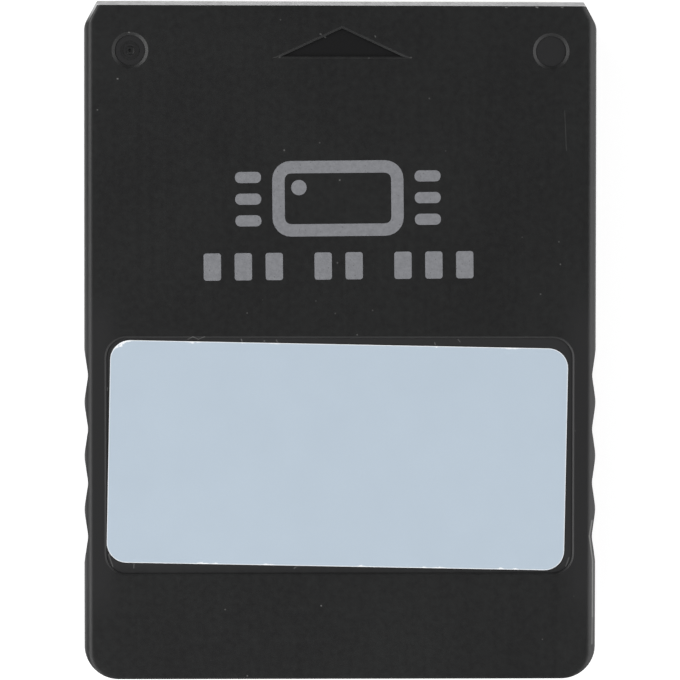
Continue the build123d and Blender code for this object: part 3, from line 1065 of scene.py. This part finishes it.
@dataclass
class PrintedMarks:
    """Grey print on the upper face: a chip sign, and a row of pads in the contacts' groups."""

    finish: PrintInk = field(default_factory=PrintInk)
    film: float = 0.012 * MM
    turn: float = 0.6
    corner_segments: int = 6
    chip_centre: Pair = (-0.1 * MM, 11.5 * MM)
    chip_size: Pair = (10.6 * MM, 6.1 * MM)
    chip_corner: float = 1.5 * MM
    chip_stroke: float = 1.0 * MM
    pin_size: Pair = (2.1 * MM, 0.9 * MM)
    # Corner radius of a pin as a share of its height, and of the dot as a share of its radius
    pin_round: float = 0.45
    dot_round: float = 0.98
    pin_pitch: float = 1.75 * MM
    pin_rows: int = 3
    pin_gap: float = 0.9 * MM
    dot_radius: float = 0.62 * MM
    dot_inset: float = 2.15 * MM
    pad_row: float = 6.05 * MM
    pad_size: Pair = (1.4 * MM, 2.2 * MM)
    pad_corner: float = 0.22 * MM
    pad_pitch: float = 2.5 * MM
    group_gap: float = 1.45 * MM
    groups: tuple[int, ...] = (3, 2, 3)

    def build(self) -> None:
        """Make the printed shapes and give them their ink."""
        ink = self.finish.build()
        for sign in (self.chip_sign(), self.pad_row_sign()):
            wear_finish(sign, ink)
            seat(sign)

    def face_height(self) -> float:
        """Height of the front face."""
        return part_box("front_shell")[1].z

    def plate(self, name: str, centre: Pair, size: Pair, corner: float) -> bpy.types.Object:
        """Start a flat shape with rounded corners on the face.

        Args:
            name: Name of the new object.
            centre: Middle of the shape in X and Y.
            size: Width and height.
            corner: Corner radius.

        Returns:
            The flat shape, in edit mode with its face selected.
        """
        deselect_all()
        bpy.ops.mesh.primitive_plane_add(size=1.0, location=(*centre, self.face_height()))
        shape = bpy.context.object
        shape.name = name
        shape.scale = (*size, 1.0)
        settle(shape)
        bpy.ops.object.mode_set(mode="EDIT")
        bpy.ops.mesh.select_all(action="SELECT")
        bpy.ops.mesh.bevel(offset=corner, segments=self.corner_segments, affect="VERTICES")
        bpy.ops.mesh.select_all(action="SELECT")
        return shape

    def hollow(self, stroke: float) -> None:
        """Leave only an outline of one stroke's width, in edit mode."""
        bpy.ops.mesh.inset(thickness=stroke)
        bpy.ops.mesh.delete(type="FACE")
        bpy.ops.object.mode_set(mode="OBJECT")

    def copy_at(self, shape: bpy.types.Object, step: Pair) -> bpy.types.Object:
        """Copy a shape with its own mesh, one step away.

        Args:
            shape: Shape to copy.
            step: Way to the copy in X and Y.

        Returns:
            The copy, settled in place.
        """
        twin = bpy.data.objects.new(shape.name + "_copy", shape.data.copy())
        bpy.context.scene.collection.objects.link(twin)
        twin.location = (*step, 0.0)
        settle(twin)
        return twin

    def finish_sign(self, parts: list[bpy.types.Object], name: str) -> bpy.types.Object:
        """Join flat shapes, turn them with the print and give them the ink's thickness.

        Args:
            parts: Flat shapes of one sign.
            name: Name of the finished piece.

        Returns:
            The finished piece.
        """
        pick(parts[0])
        for part in parts:
            part.select_set(True)
        bpy.ops.object.join()
        sign = bpy.context.object
        sign.name = name
        sign.rotation_euler = (0.0, 0.0, math.radians(self.turn))
        settle(sign)
        film = sign.modifiers.new("ink_film", "SOLIDIFY")
        film.thickness = self.film
        film.offset = 1.0
        bpy.ops.object.modifier_apply(modifier=film.name)
        return sign

    def chip_sign(self) -> bpy.types.Object:
        """Make the chip sign.

        Returns:
            The finished piece.
        """
        middle_x, middle_y = self.chip_centre
        body = self.plate("chip_outline", self.chip_centre, self.chip_size, self.chip_corner)
        self.hollow(self.chip_stroke)
        parts = [body]
        side_x = self.chip_size[0] / 2 + self.pin_size[0] / 2 + self.pin_gap
        first_y = middle_y - self.pin_pitch * (self.pin_rows - 1) / 2
        pin_corner = self.pin_size[1] * self.pin_round
        for side in Side:
            spot = (middle_x + side.value * side_x, first_y)
            pin = self.plate("chip_pin", spot, self.pin_size, pin_corner)
            bpy.ops.object.mode_set(mode="OBJECT")
            parts.append(pin)
            for row in range(1, self.pin_rows):
                parts.append(self.copy_at(pin, (0.0, row * self.pin_pitch)))
        dot_x = middle_x - self.chip_size[0] / 2 + self.dot_inset
        dot_y = middle_y + self.chip_size[1] / 2 - self.dot_inset
        dot_size = (2 * self.dot_radius, 2 * self.dot_radius)
        dot = self.plate("chip_dot", (dot_x, dot_y), dot_size, self.dot_radius * self.dot_round)
        bpy.ops.object.mode_set(mode="OBJECT")
        parts.append(dot)
        return self.finish_sign(parts, "print_chip_sign")

    def pad_row_sign(self) -> bpy.types.Object:
        """Make the row of pads.

        Returns:
            The finished piece.
        """
        pads, gaps = sum(self.groups) - 1, len(self.groups) - 1
        width = pads * self.pad_pitch + gaps * self.group_gap
        spot = (self.chip_centre[0] - width / 2, self.pad_row)
        first = self.plate("pad", spot, self.pad_size, self.pad_corner)
        bpy.ops.object.mode_set(mode="OBJECT")
        parts = [first]
        step = 0.0
        for group, count in enumerate(self.groups):
            for number in range(count):
                if group or number:
                    step += self.pad_pitch + (self.group_gap if number == 0 else 0.0)
                    parts.append(self.copy_at(first, (step, 0.0)))
        return self.finish_sign(parts, "print_pad_row")


@dataclass
class BoardAssembly:
    """Everything on the circuit board, dressed where the CAD put it."""

    board: SolderMask = field(default_factory=SolderMask)
    epoxy: MouldedEpoxy = field(default_factory=MouldedEpoxy)
    # Gold worn dull by the slot's springs scatters much of its light
    gold: PlatedMetal = PlatedMetal(
        "hard_gold_plate", "#e0bb62", "#c39a44", 0.4, Wipe.ALONG_CARD, metallic=0.35
    )
    tin: PlatedMetal = PlatedMetal("matt_tin_plate", "#c8c8c6", "#a2a29f", 0.36, Wipe.EVEN)
    lid: PlatedMetal = PlatedMetal(
        "rolled_nickel_silver", "#c4beb0", "#a39d90", 0.3, Wipe.ACROSS_CARD
    )
    capacitor: CeramicChip = CeramicChip(
        "fired_capacitor_ceramic", "#a97f55", "#8c6641", pitch=2.4, half_length=0.8, cap=0.35
    )
    resistor: CeramicChip = CeramicChip(
        "glazed_resistor_ceramic", "#1d1d20", "#2c2c30", pitch=2.4, half_length=0.8, cap=0.35
    )

    def build(self) -> None:
        """Give each CAD node of the board its finish."""
        kinds = {
            "circuit_board": self.board.build(),
            "memory_chip_body": self.epoxy.build(),
            "memory_chip_leads": self.tin.build(),
            "crystal": self.lid.build(),
            "contact_": self.gold.build(),
            "capacitor_": self.capacitor.build(),
            "resistor_": self.resistor.build(),
        }
        kinds["controller_chip_body"] = kinds["memory_chip_body"]
        kinds["controller_chip_leads"] = kinds["memory_chip_leads"]
        for name, node in sorted(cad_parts.items()):
            kind = kinds.get(name) or kinds.get(name.rstrip("0123456789"))
            if kind is not None:
                wear_finish(node, kind)
                LOG.info("dressed %s", name)


@dataclass(frozen=True)
class SoftBox:
    """A flat lamp that faces the card, by its direction and size seen from there."""

    name: str
    azimuth: float
    elevation: float
    width: float
    height: float
    radiance: float
    distance: float = 0.4


@dataclass
class Studio:
    """Pale floor, soft light and the camera over the card."""

    floor_size: float = 4.0
    floor_colour: str = "#cbcbcb"
    floor_glow: float = 0.66
    zenith: float = 0.17
    horizon: float = 0.9
    horizon_height: float = 0.25
    # Where the room darkens toward the grip end, and how much of its light is left there
    dim_range: Pair = (-0.7, -0.1)
    dim_least: float = 0.1
    boxes: tuple[SoftBox, ...] = (
        SoftBox("left_softbox", 180.0, 44.0, 0.75, 0.17, 3.85),
        SoftBox("right_softbox", 0.0, 30.0, 0.75, 0.36, 2.05),
        SoftBox("front_softbox", 270.0, 43.0, 0.6, 0.16, 1.25),
    )
    lens: float = 140.0
    sensor: float = 36.0
    clip: Pair = (0.01, 10.0)
    reach: float = 0.21377
    lean: Pair = (-0.004, 0.0039)
    aim: Pair = (-0.00005, 0.00006)
    roll: float = 0.05

    def build(self) -> None:
        """Set up the whole studio."""
        self.lay_floor()
        self.light_world()
        for box in self.boxes:
            self.hang(box)
        self.set_camera()
        bpy.context.scene.view_settings.view_transform = "Standard"

    def lay_floor(self) -> None:
        """Lay the pale floor, which the camera and reflections see as white."""
        deselect_all()
        bpy.ops.mesh.primitive_plane_add(size=self.floor_size, location=(0.0, 0.0, 0.0))
        floor = bpy.context.object
        floor.name = "studio_floor"
        material = bpy.data.materials.new("matt_studio_paper")
        tree = clear_tree(material)
        rays = add_node(tree, "ShaderNodeLightPath").outputs
        direct = maths(tree, "MAXIMUM", rays["Is Camera Ray"], rays["Is Glossy Ray"])
        seen = maths(tree, "MAXIMUM", direct, rays["Is Transmission Ray"])
        lift = maths(tree, "MULTIPLY", seen, self.floor_glow)
        paper = add_node(tree, "ShaderNodeBsdfDiffuse", {"Color": linear(self.floor_colour)})
        glow = add_node(tree, "ShaderNodeEmission", {"Strength": lift})
        both = add_node(tree, "ShaderNodeAddShader", {0: paper, 1: glow})
        add_node(tree, "ShaderNodeOutputMaterial", {"Surface": both})
        wear_finish(floor, material)

    def light_world(self) -> None:
        """Light the room: pale low walls and a dim ceiling, darker beyond the grip end."""
        world = bpy.data.worlds.new("studio_room")
        bpy.context.scene.world = world
        tree = clear_tree(world)
        way = add_node(tree, "ShaderNodeTexCoord").outputs["Generated"]
        axes = add_node(tree, "ShaderNodeSeparateXYZ", {0: way}).outputs
        smooth = {"interpolation_type": "SMOOTHSTEP"}
        wall = (self.horizon - self.zenith, 0.0)
        low = ranged(tree, axes[2], (0.0, self.horizon_height), wall, **smooth)
        dimmed = ranged(tree, axes[1], self.dim_range, (self.dim_least, 1.0), **smooth)
        band = maths(tree, "MULTIPLY", low, dimmed)
        level = maths(tree, "ADD", band, self.zenith)
        back = add_node(tree, "ShaderNodeBackground", {"Strength": level})
        add_node(tree, "ShaderNodeOutputWorld", {"Surface": back})

    def hang(self, box: SoftBox) -> None:
        """Hang one lamp and point it at the card.

        Args:
            box: Direction, size and radiance of the lamp.
        """
        turn, rise = math.radians(box.azimuth), math.radians(box.elevation)
        level = math.cos(rise)
        way = Vector((math.cos(turn) * level, math.sin(turn) * level, math.sin(rise)))
        deselect_all()
        bpy.ops.object.light_add(type="AREA", location=way * box.distance)
        lamp = bpy.context.object
        lamp.name = box.name
        lamp.data.shape = "RECTANGLE"
        lamp.data.size = box.width
        lamp.data.size_y = box.height
        lamp.data.energy = box.radiance * box.width * box.height * math.pi
        lamp.rotation_mode = "QUATERNION"
        lamp.rotation_quaternion = way.to_track_quat("Z", "Y")
        lamp.visible_camera = False
        LOG.info("lamp %s", box.name)

    def set_camera(self) -> None:
        """Set the camera over the card as it was photographed."""
        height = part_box("front_shell")[1].z
        target = Vector((*self.aim, height))
        flat = math.hypot(*self.lean)
        spot = target + Vector((*self.lean, math.sqrt(self.reach ** 2 - flat ** 2)))
        data = bpy.data.cameras.new("front_view")
        data.lens = self.lens
        data.sensor_width = self.sensor
        data.clip_start, data.clip_end = self.clip
        camera = bpy.data.objects.new("front_view", data)
        bpy.context.scene.collection.objects.link(camera)
        back = (spot - target).normalized()
        level = Vector((0.0, 1.0, 0.0)).cross(back).normalized()
        right = Matrix.Rotation(math.radians(self.roll), 3, back) @ level
        turn = Matrix((right, back.cross(right), back)).transposed()
        camera.location = spot
        camera.rotation_mode = "QUATERNION"
        camera.rotation_quaternion = turn.to_quaternion()
        bpy.context.scene.camera = camera


def main() -> None:
    """Build every sub-assembly in order."""
    logging.basicConfig(level=logging.INFO, format="%(name)s: %(message)s")
    for assembly in (Housing(), PaperLabel(), PrintedMarks(), BoardAssembly(), Studio()):
        LOG.info("building %s", type(assembly).__name__)
        assembly.build()


if __name__ == "__main__":
    main()
